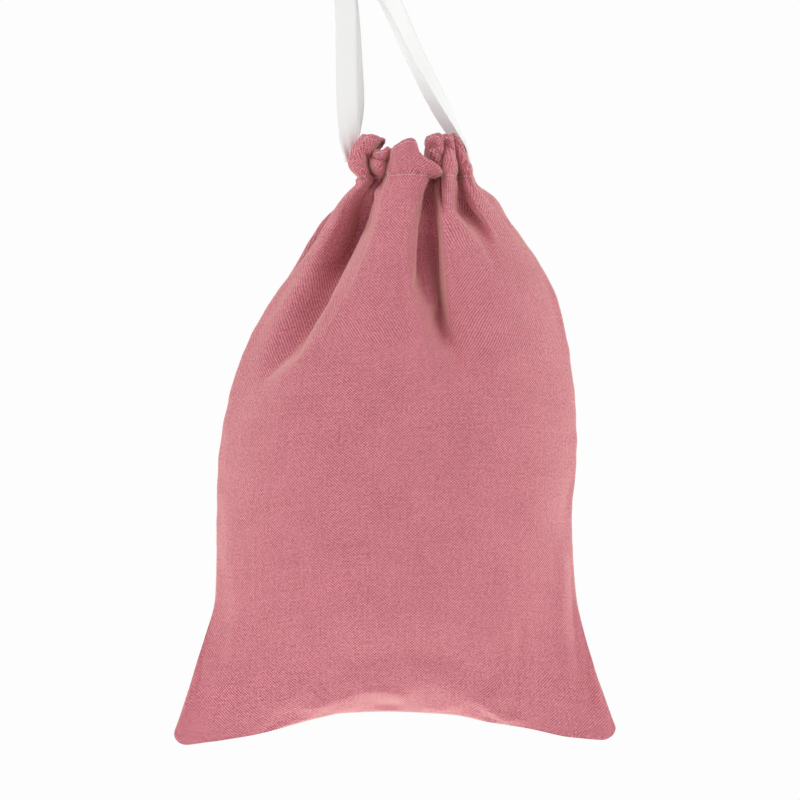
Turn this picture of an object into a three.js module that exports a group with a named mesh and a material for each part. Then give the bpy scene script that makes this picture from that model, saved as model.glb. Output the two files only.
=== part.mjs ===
// A linen drawstring bag, hanging closed from its two ribbons.
// Millimetres, +Z up, front towards -Y. The origin is the point that the ribbons hang from.
import * as THREE from 'three';

// Driving sizes
const hangDrop = 101.2;          // hanging point down to the head of the gathered hem
const hemHeight = 20.9;          // head of the hem down to the line of stitches under it
const bodyDrop = 268;            // hem down to the two bottom corners
const bottomRise = 15;           // how far the middle of the bottom seam lies above the corners
const bodyHalf = 105.3;          // half width where the body is widest, just over its corners
const bodyCentre = 19;           // middle of the bottom, to the right of the hanging point
const bodyDepth = 52;            // half of the greatest thickness
const clothThickness = 0.8;
const touchGap = 0.3;            // clearance between pieces that touch

// Neck, gathered on the ribbons
const neckCentre = 28.5;
const neckHalf = 27.5;
const neckSag = 9;               // how far the middle of the neck stands off its two ends
const neckEndDepth = 2.3;        // half the gap between the two ribbon runs at the neck's ends
const leftLean = 1.2;            // how far the hem's left end leans in at its head
const rightLean = 11;
const bodyPower = 3;             // fullness of the bag's cross-section at its filling
const neckPower = 2.2;           // and at its neck
const foldRise = 8;              // how far the neck's highest fold stands out
const dentDepth = 24;            // how far the deepest dent between the folds sinks in
const sideEdge = 0.55 * clothThickness + touchGap / 2;

// Hem tunnel
const hemLip = 1.5;              // doubled cloth under and over the tunnel
const tunnelRise = 1.6;
const lipGap = 0.3;
const ribbonClearance = 0.4;

// Ribbons
const ribbonWidth = 10;
const ribbonThickness = 0.6;
const laneGap = 1.9;             // between the two ribbons crumpled inside the tunnel
const bundleHeight = (hemHeight - 2 * (hemLip + tunnelRise + ribbonClearance) - laneGap) / 2;
const bundleThickness = 0.8;
const leftExitReach = 5;
const rightExitReach = 1;
const turnReach = 1.3;
const tailSteps = 40;            // enough for the thin ribbon to twist smoothly
const knotRadius = 6.5;
const knotHeight = 12;
const knotFlat = 4.4;

// Seams and thread
const seamAllowance = 8;
const seamThickness = 1.2;
const threadThickness = 0.4;
const stitchInset = 0.75;        // hem edge to the line of stitches
const threadGap = 0.5;           // thread to the cloth, measured straight out from the bag

const hemZ = -hangDrop - hemHeight;
const bodyTopZ = hemZ - touchGap;

// The body's outline from the bottom seam up to the hem: shares of its half width, of its half
// thickness and of the way from the bottom's middle to the neck's
const outline = [
  { at: 0.0, half: 0.973, shift: 0.0, depth: 0.0 },
  { at: 0.03, half: 1.0, shift: 0.0, depth: 0.1 },
  { at: 0.1, half: 0.931, shift: -0.02, depth: 0.3 },
  { at: 0.25, half: 0.817, shift: -0.05, depth: 0.7 },
  { at: 0.43, half: 0.824, shift: 0.03, depth: 0.97 },
  { at: 0.62, half: 0.783, shift: 0.42, depth: 0.99 },
  { at: 0.8, half: 0.639, shift: 0.97, depth: 0.85 },
  { at: 0.91, half: 0.481, shift: 1.01, depth: 0.56 },
  { at: 1.0, half: neckHalf / bodyHalf, shift: 1.0, depth: neckSag / bodyDepth },
];

// Folds of the gathered neck: shares of its half width, and of the highest one's height
const folds = [
  { centre: -0.78, half: 0.22, rise: 0.75 },
  { centre: -0.07, half: 0.46, rise: 1 },
  { centre: 0.585, half: 0.155, rise: 0.69 },
  { centre: 0.87, half: 0.13, rise: 0.44 },
];
const foldsEnd = 0.86;           // height share at which the folds have run into the dents' ridges

// Dents that run down from between the folds: shares of the height, of the half width there, with
// their reach to the left and to the right, and of the greatest depth
const dents = [
  [
    { at: 0.61, centre: -0.82, left: 0.19, right: 0.16, depth: 0 },
    { at: 0.68, centre: -0.66, left: 0.27, right: 0.15, depth: 0.5 },
    { at: 0.75, centre: -0.53, left: 0.36, right: 0.14, depth: 0.85 },
    { at: 0.84, centre: -0.48, left: 0.42, right: 0.13, depth: 0.95 },
    { at: 0.92, centre: -0.47, left: 0.4, right: 0.13, depth: 0.65 },
    { at: 1, centre: -0.5, left: 0.3, right: 0.13, depth: 0 },
  ],
  [
    { at: 0.58, centre: 0.45, left: 0.31, right: 0.24, depth: 0 },
    { at: 0.68, centre: 0.37, left: 0.32, right: 0.24, depth: 0.65 },
    { at: 0.77, centre: 0.26, left: 0.31, right: 0.24, depth: 0.95 },
    { at: 0.84, centre: 0.19, left: 0.28, right: 0.19, depth: 1 },
    { at: 0.92, centre: 0.18, left: 0.2, right: 0.15, depth: 0.7 },
    { at: 1, centre: 0.3, left: 0.15, right: 0.15, depth: 0 },
  ],
  [
    { at: 0.8, centre: 0.64, left: 0.15, right: 0.18, depth: 0 },
    { at: 0.88, centre: 0.55, left: 0.15, right: 0.2, depth: 0.5 },
    { at: 0.93, centre: 0.5, left: 0.14, right: 0.17, depth: 0.45 },
    { at: 1, centre: 0.6, left: 0.14, right: 0.14, depth: 0 },
  ],
];
const hemStations = 39;
const panelColumns = 53;
const panelRows = 25;

const linen = { color: 0xcb7a85, roughness: 0.92, metalness: 0 };
const thread = { color: 0xd9a2a2, roughness: 0.8, metalness: 0 };
const satin = { color: 0xf4f2ef, roughness: 0.45, metalness: 0 };

const lerp = THREE.MathUtils.lerp;
const bag = new THREE.Group();

function add(name, geometry, finish) {
  const mesh = new THREE.Mesh(geometry, new THREE.MeshStandardMaterial(finish));
  mesh.name = name;
  bag.add(mesh);
}

// Smooth curve through one column of a table, by cubic Hermite pieces
function along(table, key, at) {
  const last = table.length - 1;
  let i = 0;
  while (i < last - 1 && table[i + 1].at < at) {
    i += 1;
  }
  const slope = (k) => {
    const a = table[Math.max(k - 1, 0)];
    const b = table[Math.min(k + 1, last)];
    return (b[key] - a[key]) / (b.at - a.at);
  };
  const span = table[i + 1].at - table[i].at;
  const t = (at - table[i].at) / span;
  const rise = t * t * (3 - 2 * t);
  const start = t * (1 - t) * (1 - t) * span * slope(i);
  const end = t * t * (t - 1) * span * slope(i + 1);
  return lerp(table[i][key], table[i + 1][key], rise) + start + end;
}

const halfAt = (v) => bodyHalf * along(outline, 'half', v);
const centreAt = (v) => lerp(bodyCentre, neckCentre, along(outline, 'shift', v));
const depthAt = (v) => bodyDepth * along(outline, 'depth', v);
const powerAt = (v) => lerp(bodyPower, neckPower, THREE.MathUtils.smoothstep(v, foldsEnd, 1));
const bulge = (u, power) => Math.max(0, 1 - Math.abs(u) ** power);

// Height of the neck's folds at a share of the half width. The back has them the other way round.
function foldHeight(u, side) {
  let height = 0;
  for (const fold of folds) {
    const t = (u * -side - fold.centre) / fold.half;
    if (Math.abs(t) < 1) {
      height += foldRise * fold.rise * Math.cos((t * Math.PI) / 2) ** 2;
    }
  }
  return height;
}

// Depth of the dents at a share of the half width and of the height
function dentAt(u, v, side) {
  let depth = 0;
  for (const dent of dents) {
    if (v > dent[0].at) {
      const from = u * -side - along(dent, 'centre', v);
      const t = Math.abs(from) / along(dent, from < 0 ? 'left' : 'right', v);
      depth += dentDepth * along(dent, 'depth', v) * (1 - THREE.MathUtils.smoothstep(t, 0, 1));
    }
  }
  return depth;
}

// One closed body between two equal grids of points, outer and inner
function shell(outer, inner, turnedOver) {
  const rows = outer.length;
  const cols = outer[0].length;
  const points = [...outer.flat(), ...inner.flat()];
  const triangles = [];
  const quad = (a, b, c, d) => triangles.push(a, b, c, a, c, d);
  const o = (i, j) => i * cols + j;
  const n = (i, j) => rows * cols + i * cols + j;
  for (let i = 0; i < rows - 1; i += 1) {
    for (let j = 0; j < cols - 1; j += 1) {
      quad(o(i, j), o(i, j + 1), o(i + 1, j + 1), o(i + 1, j));
      quad(n(i, j), n(i + 1, j), n(i + 1, j + 1), n(i, j + 1));
    }
    quad(o(i, 0), o(i + 1, 0), n(i + 1, 0), n(i, 0));
    quad(o(i + 1, cols - 1), o(i, cols - 1), n(i, cols - 1), n(i + 1, cols - 1));
  }
  for (let j = 0; j < cols - 1; j += 1) {
    quad(o(0, j + 1), o(0, j), n(0, j), n(0, j + 1));
    quad(o(rows - 1, j), o(rows - 1, j + 1), n(rows - 1, j + 1), n(rows - 1, j));
  }
  return solid(points, triangles, turnedOver);
}

// One closed body from equal rings of points, with both end rings filled or joined ring to hole
function sweep(rings, holes, turnedOver) {
  const count = rings[0].length;
  const points = [...rings.flat(), ...(holes ? holes.flat() : [])];
  const triangles = [];
  const quad = (a, b, c, d) => triangles.push(a, b, c, a, c, d);
  const at = (i, j) => i * count + (j % count);
  const hole = (i, j) => (rings.length + i) * count + (j % count);
  const last = rings.length - 1;
  for (let i = 0; i < last; i += 1) {
    for (let j = 0; j < count; j += 1) {
      quad(at(i, j), at(i, j + 1), at(i + 1, j + 1), at(i + 1, j));
      if (holes) {
        quad(hole(i, j), hole(i + 1, j), hole(i + 1, j + 1), hole(i, j + 1));
      }
    }
  }
  if (holes) {
    for (let j = 0; j < count; j += 1) {
      quad(at(0, j + 1), at(0, j), hole(0, j), hole(0, j + 1));
      quad(at(last, j), at(last, j + 1), hole(last, j + 1), hole(last, j));
    }
  } else {
    for (let j = 1; j < count - 1; j += 1) {
      triangles.push(at(0, 0), at(0, j + 1), at(0, j));
      triangles.push(at(last, 0), at(last, j), at(last, j + 1));
    }
  }
  return solid(points, triangles, turnedOver);
}

function solid(points, triangles, turnedOver) {
  const geometry = new THREE.BufferGeometry();
  geometry.setAttribute('position', new THREE.Float32BufferAttribute(points.flat(), 3));
  geometry.setIndex(turnedOver ? triangles.reverse() : triangles);
  geometry.computeVertexNormals();
  return geometry;
}

const steps = (count, f) => Array.from({ length: count }, (_, i) => f(i, i / (count - 1)));

// The two panels. side is -1 for the front and +1 for the back.
function panelDepth(u, v, side) {
  const fade = THREE.MathUtils.smoothstep(v, foldsEnd, 1);
  const edge = lerp(sideEdge, neckEndDepth, Math.max(0, v - 0.9) / 0.1);
  return edge + depthAt(v) * bulge(u, powerAt(v)) + fade * foldHeight(u, side) - dentAt(u, v, side);
}

// Height share of a row of the panels' points, closer together towards the bottom
const rowHeight = (i) => (i / (panelRows - 1)) ** 1.15;

function panelPoint(u, v, side, offset) {
  const drop = bodyDrop - touchGap - bottomRise * Math.max(0, 1 - u * u) ** 1.2;
  return [
    centreAt(v) + halfAt(v) * u,
    side * (panelDepth(u, v, side) + offset),
    bodyTopZ - drop * (1 - v),
  ];
}

function panel(side) {
  const skin = (offset) => steps(panelRows, (i) =>
    steps(panelColumns, (j, t) => panelPoint(2 * t - 1, rowHeight(i), side, offset)));
  return shell(skin(clothThickness / 2), skin(-clothThickness / 2), side > 0);
}
add('front_panel', panel(-1), linen);
add('back_panel', panel(1), linen);

// Seam allowances, turned to the inside: two layers of cloth, overlocked together
const seamRoom = seamThickness / 2 + touchGap + clothThickness / 2 - sideEdge;

function sideSeam(hand) {
  const rings = steps(panelRows - 3, (i) => {
    const v = rowHeight(i + 2);
    const edge = (1 - seamRoom / depthAt(v)) ** (1 / powerAt(v));
    const half = halfAt(v);
    const outer = centreAt(v) + hand * half * edge;
    const inner = outer - hand * seamAllowance;
    const y = seamThickness / 2;
    const z = panelPoint(hand * edge, v, -1, 0)[2];
    return [[outer, -y, z], [inner, -y, z], [inner, y, z], [outer, y, z]];
  });
  return sweep(rings, null, hand > 0);
}
add('left_side_seam', sideSeam(-1), linen);
add('right_side_seam', sideSeam(1), linen);

function bottomSeam() {
  const reach = 0.86;
  const rings = steps(31, (i, t) => {
    const u = lerp(-reach, reach, t);
    let v = 0;
    while (depthAt(v) * bulge(u, powerAt(v)) < seamRoom) {
      v += 0.0005;
    }
    const [x, , low] = panelPoint(u, v, -1, 0);
    const y = seamThickness / 2;
    return [[x, -y, low], [x, -y, low + seamAllowance], [x, y, low + seamAllowance], [x, y, low]];
  });
  return sweep(rings, null, true);
}
add('bottom_seam', bottomSeam(), linen);

// The hem, doubled over the two ribbons and gathered. height is measured up from the hem line.
const wallOffset = bundleThickness / 2 + ribbonClearance + clothThickness / 2;
const lipOffset = (clothThickness + lipGap) / 2;
const hemLeft = (height) => neckCentre - neckHalf + (leftLean * height) / hemHeight;
const hemRight = (height) => neckCentre + neckHalf - (rightLean * height) / hemHeight;
const runDepth = (x) => neckEndDepth + neckSag * bulge((x - neckCentre) / neckHalf, neckPower);

// How far the tunnel stands open at a height, from 0 in the lips to 1
function tunnelOpen(height) {
  const fromEdge = Math.min(height, hemHeight - height);
  return THREE.MathUtils.smoothstep(fromEdge, hemLip, hemLip + tunnelRise);
}

// Depth of a wall of the hem: layer is +1 for the outer one, -1 for the inner one
function wallDepth(t, height, side, layer, offset) {
  const x = lerp(hemLeft(height), hemRight(height), t);
  const fold = foldHeight(2 * t - 1, side);
  const lip = fold + layer * lipOffset;
  const open = layer > 0 ? Math.max(fold, wallOffset) : -wallOffset;
  return [x, runDepth(x) + lerp(lip, open, tunnelOpen(height)) + offset];
}

const innerLevels = [
  hemLip + tunnelRise / 2,
  hemLip + tunnelRise,
  hemHeight / 2,
  hemHeight - hemLip - tunnelRise,
  hemHeight - hemLip - tunnelRise / 2,
];
const outerLevels = [0, ...innerLevels, hemHeight];
const tunnelLevels = [hemLip, ...innerLevels, hemHeight - hemLip];

function hemLoop(t, side, levels, grow) {
  const corner = (height, layer) => {
    const [x, depth] = wallDepth(t, height, side, layer, (layer * grow * clothThickness) / 2);
    return [x, side * depth, hemZ + height];
  };
  const up = levels.map((height) => corner(height, 1));
  const down = levels.map((height) => corner(height, -1)).reverse();
  return [...up, ...down];
}

function casing(side) {
  const outer = steps(hemStations, (i, t) => hemLoop(t, side, outerLevels, 1));
  const tunnel = steps(hemStations, (i, t) => hemLoop(t, side, tunnelLevels, -1));
  return sweep(outer, tunnel, side < 0);
}

// The top thread of a row of lock stitches, which follows the outer layer over every fold
function threadRow(side, height) {
  const level = height < hemHeight / 2 ? 0 : outerLevels.length - 2;
  const low = outerLevels[level];
  const high = outerLevels[level + 1];
  const share = (height - low) / (high - low);
  const half = threadThickness / 2;
  const rings = steps(hemStations, (i, t) => {
    const a = wallDepth(t, low, side, 1, clothThickness / 2);
    const b = wallDepth(t, high, side, 1, clothThickness / 2);
    const x = lerp(a[0], b[0], share);
    const near = side * (lerp(a[1], b[1], share) + threadGap);
    const far = near + side * threadThickness;
    const z = hemZ + height;
    return [[x, near, z - half], [x, far, z - half], [x, far, z + half], [x, near, z + half]];
  });
  return sweep(rings, null, side < 0);
}

// A ribbon crumpled in its own lane of the tunnel, the left one in the upper lane
const laneEdge = hemLip + tunnelRise + ribbonClearance + bundleHeight / 2;
const lanes = {
  left: { height: hemHeight - laneEdge },
  right: { height: laneEdge },
};
for (const lane of Object.values(lanes)) {
  lane.left = hemLeft(lane.height - bundleHeight / 2);
  lane.right = hemRight(lane.height - bundleHeight / 2);
  lane.z = hemZ + lane.height;
}

function bundle(path, z, turnedOver) {
  const low = z - bundleHeight / 2;
  const high = z + bundleHeight / 2;
  const half = bundleThickness / 2;
  const rings = path.map(([x, y, nx, ny]) => {
    const a = [x - nx * half, y - ny * half];
    const b = [x + nx * half, y + ny * half];
    return [[...a, low], [...b, low], [...b, high], [...a, high]];
  });
  return sweep(rings, null, turnedOver);
}

function run(hand, side) {
  const lane = hand < 0 ? lanes.left : lanes.right;
  const from = lane.left - (hand < 0 ? leftExitReach : touchGap);
  const to = lane.right + (hand > 0 ? rightExitReach : touchGap);
  const path = steps(19, (i, t) => {
    const x = lerp(from, to, t);
    return [x, side * runDepth(x), 0, 1];
  });
  return bundle(path, lane.z, false);
}

// The far end of each ribbon's loop, where it comes out of one tunnel and goes into the other
function turn(hand) {
  const lane = hand < 0 ? lanes.left : lanes.right;
  const away = -hand;
  const start = (away < 0 ? lane.left : lane.right) + 2 * touchGap * away;
  const path = steps(9, (i, t) => {
    const angle = lerp(-Math.PI / 2, Math.PI / 2, t);
    const x = start + away * turnReach * Math.cos(angle);
    const y = neckEndDepth * Math.sin(angle);
    const normal = new THREE.Vector2(away * neckEndDepth * Math.cos(angle), turnReach * Math.sin(angle));
    normal.normalize();
    return [x, y, normal.x, normal.y];
  });
  return bundle(path, lane.z, away > 0);
}

for (const [name, side] of [['front', -1], ['back', 1]]) {
  add(`${name}_casing`, casing(side), linen);
  add(`${name}_hem_stitching`, threadRow(side, stitchInset), thread);
  add(`${name}_head_stitching`, threadRow(side, hemHeight - stitchInset), thread);
  add(`left_ribbon_${name}_run`, run(-1, side), satin);
  add(`right_ribbon_${name}_run`, run(1, side), satin);
}
add('left_ribbon_turn', turn(-1), satin);
add('right_ribbon_turn', turn(1), satin);

// Ribbon tails: each turns from edge-on at the neck to lie flat to the front at its knot
class RibbonPath extends THREE.CatmullRomCurve3 {
  constructor(points, edgeOn) {
    super(points);
    this.edgeOn = edgeOn;
  }

  computeFrenetFrames(count) {
    const frames = { tangents: [], normals: [], binormals: [] };
    for (let i = 0; i <= count; i += 1) {
      const share = i / count;
      const tangent = this.getTangentAt(share);
      const turned = (this.edgeOn * (1 - THREE.MathUtils.smoothstep(share, 0.03, 0.55)) * Math.PI) / 2;
      const normal = new THREE.Vector3(Math.sin(turned), Math.cos(turned), 0);
      normal.addScaledVector(tangent, -normal.dot(tangent)).normalize();
      frames.tangents.push(tangent);
      frames.normals.push(normal);
      frames.binormals.push(new THREE.Vector3().crossVectors(tangent, normal));
    }
    return frames;
  }
}

function ribbonSection() {
  const t = ribbonThickness / 2;
  const w = ribbonWidth / 2;
  const round = ribbonThickness / 4;
  const corners = [
    [t, w - round], [t - round, w], [round - t, w], [-t, w - round], [-t, 0],
    [-t, round - w], [round - t, -w], [t - round, -w], [t, round - w], [t, 0],
  ];
  return new THREE.Shape(corners.map(([x, y]) => new THREE.Vector2(x, y)).reverse());
}

function tail(hand, side, between) {
  const lane = hand < 0 ? lanes.left : lanes.right;
  const exitX = hand < 0 ? lane.left - leftExitReach : lane.right + rightExitReach;
  const startX = exitX - hand * ribbonThickness / 2;
  const startY = side * (ribbonWidth / 2 + touchGap);
  const startZ = lane.z + bundleHeight / 2 + touchGap;
  const topX = hand * (knotRadius + touchGap / 2);
  const points = [
    new THREE.Vector3(startX, startY, startZ),
    ...between.map(([x, y, z]) => new THREE.Vector3(x, side * y, z)),
    new THREE.Vector3(topX, side * 2, -knotHeight - 8),
    new THREE.Vector3(topX, side * 2, -knotHeight - touchGap),
  ];
  const path = new RibbonPath(points, hand);
  return new THREE.ExtrudeGeometry(ribbonSection(), { steps: tailSteps, extrudePath: path });
}
add('left_ribbon_front_tail', tail(-1, -1, [
  [-3.2, 5.3, -98], [-3.6, 4.8, -85], [-4.0, 3.6, -64], [-4.5, 2.5, -40],
]), satin);
add('left_ribbon_back_tail', tail(-1, 1, [
  [-1.8, 5.3, -98], [-0.6, 4.8, -85], [-1.6, 3.6, -64], [-3.4, 2.5, -40],
]), satin);
add('right_ribbon_front_tail', tail(1, -1, [
  [53.6, 5.3, -105], [49.5, 5.2, -96.5], [40.5, 4.2, -80], [29.5, 2.9, -60.8], [18.0, 2.3, -38],
]), satin);
add('right_ribbon_back_tail', tail(1, 1, [
  [53.0, 5.3, -105], [47.8, 5.2, -97], [37.5, 4.2, -81], [27.5, 2.9, -60.8], [17.5, 2.3, -38],
]), satin);

// Knots that tie each ribbon's two tails together, side by side at the hanging point
function knot(hand) {
  const profile = [
    [0, -0.5], [knotFlat / knotRadius, -0.5], [0.93, -0.28], [1, 0],
    [0.86, 0.27], [0.5, 0.45], [0, 0.5],
  ];
  const points = profile.map(([r, h]) => new THREE.Vector2(r * knotRadius, h * knotHeight));
  const geometry = new THREE.LatheGeometry(points, 14);
  geometry.rotateX(Math.PI / 2);
  geometry.scale(1, 0.85, 1);
  geometry.translate(hand * (knotRadius + touchGap / 2), 0, -knotHeight / 2);
  return geometry;
}
add('left_ribbon_knot', knot(-1), satin);
add('right_ribbon_knot', knot(1), satin);

export default bag;
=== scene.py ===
# A linen drawstring bag that hangs closed from its two white ribbons.
# The scene is in metres, +Z up, front towards -Y, and its origin is the point that the ribbons hang from.
# The bag's own sizes are in millimetres, which mm turns into metres. A drop is measured down from the origin.
import math

import bpy
import numpy as np
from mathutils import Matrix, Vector, noise


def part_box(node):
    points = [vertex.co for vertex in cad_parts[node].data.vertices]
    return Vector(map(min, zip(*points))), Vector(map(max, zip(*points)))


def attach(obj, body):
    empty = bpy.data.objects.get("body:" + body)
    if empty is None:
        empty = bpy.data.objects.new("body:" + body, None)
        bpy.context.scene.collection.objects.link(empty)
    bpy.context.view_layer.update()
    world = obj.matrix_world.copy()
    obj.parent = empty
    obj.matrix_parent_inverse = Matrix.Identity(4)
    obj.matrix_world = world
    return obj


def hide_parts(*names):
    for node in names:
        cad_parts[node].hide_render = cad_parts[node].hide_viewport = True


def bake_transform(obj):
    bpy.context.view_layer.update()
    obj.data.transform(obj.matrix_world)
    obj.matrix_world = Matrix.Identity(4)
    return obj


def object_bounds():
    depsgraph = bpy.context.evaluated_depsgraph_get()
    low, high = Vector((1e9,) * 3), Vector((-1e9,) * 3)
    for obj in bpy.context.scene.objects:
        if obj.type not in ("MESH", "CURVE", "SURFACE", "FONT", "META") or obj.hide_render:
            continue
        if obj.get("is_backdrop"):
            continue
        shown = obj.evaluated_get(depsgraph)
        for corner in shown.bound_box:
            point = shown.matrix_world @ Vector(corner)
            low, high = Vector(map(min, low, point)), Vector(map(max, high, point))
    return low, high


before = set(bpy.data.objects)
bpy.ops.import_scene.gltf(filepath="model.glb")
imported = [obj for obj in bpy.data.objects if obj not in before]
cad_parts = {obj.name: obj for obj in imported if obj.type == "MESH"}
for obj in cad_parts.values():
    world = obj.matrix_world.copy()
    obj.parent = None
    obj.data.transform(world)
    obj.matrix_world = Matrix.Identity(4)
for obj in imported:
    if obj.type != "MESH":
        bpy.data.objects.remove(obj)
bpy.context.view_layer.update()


# Camera. The photograph is taken level and square on, from a little over a metre and a half,
# and its frame is 380 mm wide at the bag.
mm = 0.001
frame_width = 380 * mm
camera_distance = 1.6
frame_centre = Vector((21.4 * mm, 0, -227 * mm))

camera_data = bpy.data.cameras.new("camera")
camera_data.sensor_width = 36
camera_data.lens = camera_data.sensor_width * camera_distance / frame_width
camera = bpy.data.objects.new("camera", camera_data)
camera.location = frame_centre + Vector((0, -camera_distance, 0))
camera.rotation_euler = (math.radians(90), 0, 0)
bpy.context.scene.collection.objects.link(camera)
bpy.context.scene.camera = camera


# Linen panels. The bag is two equal pieces of plain-woven linen, sewn together along both sides and
# the bottom and turned right side out. The neck is gathered, and the filling rounds the belly.
cut_width = 220
cut_height = 279
grid_pitch = 2.2                 # of the grid that the cloth is simulated on
columns = round(cut_width / grid_pitch)
rows = round(cut_height / grid_pitch)
cloth_thickness = 0.45
casing_low, casing_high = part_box("front_casing")
hem_drop = -casing_low.z / mm    # hanging point down to the hem's stitches
corner_drop = 391.5
middle_rise = 375.2              # drop of the bottom seam's middle
ears_start = 290                 # from here down the two corners draw out flat
corner_radius = 9
neck_centre = (casing_low.x + casing_high.x) / 2 / mm

# How far below the hanging point: the left and right side seams, half the belly's thickness, and how
# far the cloth beside the seam swells out past it, behind the left seam and before the right one
outline = [
    (122.1, 2.6, 55.4, 15, 0),
    (127.3, -2, 63, 19, 1.2),
    (132.1, -6.2, 67.5, 22, 2.5),
    (141.6, -13.3, 71, 28, 5.8),
    (151.1, -19, 77.2, 34, 6.4),
    (160.6, -25.2, 85, 39, 5),
    (170.1, -32.3, 91.5, 43, 3.2),
    (179.6, -39.9, 96.8, 46, 1.3),
    (198.6, -50.8, 101.7, 50, 0),
    (217.6, -58.4, 104.5, 52, 0),
    (236.6, -63.2, 106.4, 53, 0),
    (255.6, -66, 106.6, 53, 0),
    (284.1, -67, 104.4, 50, 0),
    (303.1, -67.2, 105, 47, 0),
    (322.1, -67.8, 106.4, 45, 0),
    (341.1, -72.5, 110.2, 41, 0),
    (352, -75.7, 113, 34.5, 0),
    (360.1, -78, 115.3, 29.5, 0),
    (368, -80.4, 118, 25.5, 0),
    (376, -83, 120.8, 19.5, 0),
    (383, -85.3, 123, 12, 0),
    (388, -86.5, 124.5, 5, 0),
    (391.5, -87, 124.8, 0.3, 0),
]

# The dents that the gathering leaves between its folds, from the hem down: drop, left and right edge,
# how far from each edge the dent has reached its full depth, and that depth against the others
dents = [
    # under the left ruffle, with a crisp right edge
    [(122.1, 8, 15, 4, 1.4, 1.0), (127.3, -1, 13.8, 9, 2.0, 2.1), (135, -7, 12, 13, 2.6, 2.9),
     (146.3, -14, 9.6, 17, 3.2, 3.3), (158.2, -22, 5.4, 21, 3.8, 3.2), (172.4, -31, 0, 25, 4.6, 2.8),
     (181, -36, -3.8, 27, 5.6, 2.4), (189, -41, -8.8, 27, 7, 1.9), (203, -49, -19.6, 24, 9, 1.1),
     (215, -55, -32, 16, 10, 0.4), (227, -58, -42, 12, 10, 0)],
    # the deep one beside the middle fold
    [(122.1, 33.5, 39.8, 1.5, 1.5, 1.0), (128.3, 32.2, 40, 1.8, 1.8, 1.5),
     (136.8, 29.2, 40.6, 2.4, 2.6, 1.8), (146.3, 25.8, 41.4, 3, 3.2, 1.9),
     (155.8, 23.8, 42.2, 3.6, 3.8, 1.9), (160.6, 23.4, 42.6, 4, 4, 1.85),
     (167.7, 23.6, 43.2, 4.8, 4.4, 1.75), (177.2, 25.4, 44.2, 6.4, 5, 1.5),
     (186.7, 28.6, 45.4, 8, 5.8, 1.1), (194.8, 32, 46.8, 8.6, 6.2, 0.6), (206, 36, 48.6, 8.4, 6.6, 0)],
    # the slope that runs out of it to the right
    [(138, 32, 46, 6, 5, 0), (150, 31, 49, 7, 7, 0.2), (160.6, 31, 52, 8, 10, 0.35),
     (172, 31, 56, 9, 13, 0.5), (184, 33, 59, 9, 16, 0.6), (196, 36, 62, 9, 18, 0.55),
     (210, 41, 65, 10, 18, 0.3), (224, 45, 67, 10, 18, 0)],
    # under the right ruffle
    [(122.1, 48.2, 51, 1.2, 1.2, 0.6), (127.3, 47.3, 52.2, 1.6, 1.6, 1.0), (133, 46.2, 54, 2, 1.8, 1.3),
     (137, 46.2, 55.4, 2.2, 2, 1.35), (141, 48.5, 57.6, 2.4, 2.2, 1.2), (146, 52, 60.4, 2.6, 2.6, 0.9),
     (152, 56, 62.8, 2.8, 3, 0.5), (159, 60, 65, 3, 3, 0.1), (163, 62, 67, 3, 3, 0)],
    # a pucker at the right end
    [(124, 56, 60, 2, 2, 0), (127.3, 56.5, 61, 2, 2, 0.35), (131, 58, 63, 2, 2.5, 0.35),
     (136, 60, 65, 2, 3, 0)],
    # a shallow groove down the middle fold
    [(148, 18, 25, 3, 5, 0), (160, 18, 26, 3.5, 5, 0.12), (175, 19, 28, 4, 6, 0.16),
     (194, 21, 32, 5, 8, 0.14), (212, 24, 36, 6, 10, 0)],
]
gather_share = 0.69              # length of the neck's folded edge as a share of the cut width
gather_reach = 45                # the gathers have opened out this far below the hem
neck_reach = 26                  # and the neck's own folds have passed into the body's this far below it
deepest_dent = 14                # a dent of depth 1 in those lists gets no deeper than this

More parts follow.
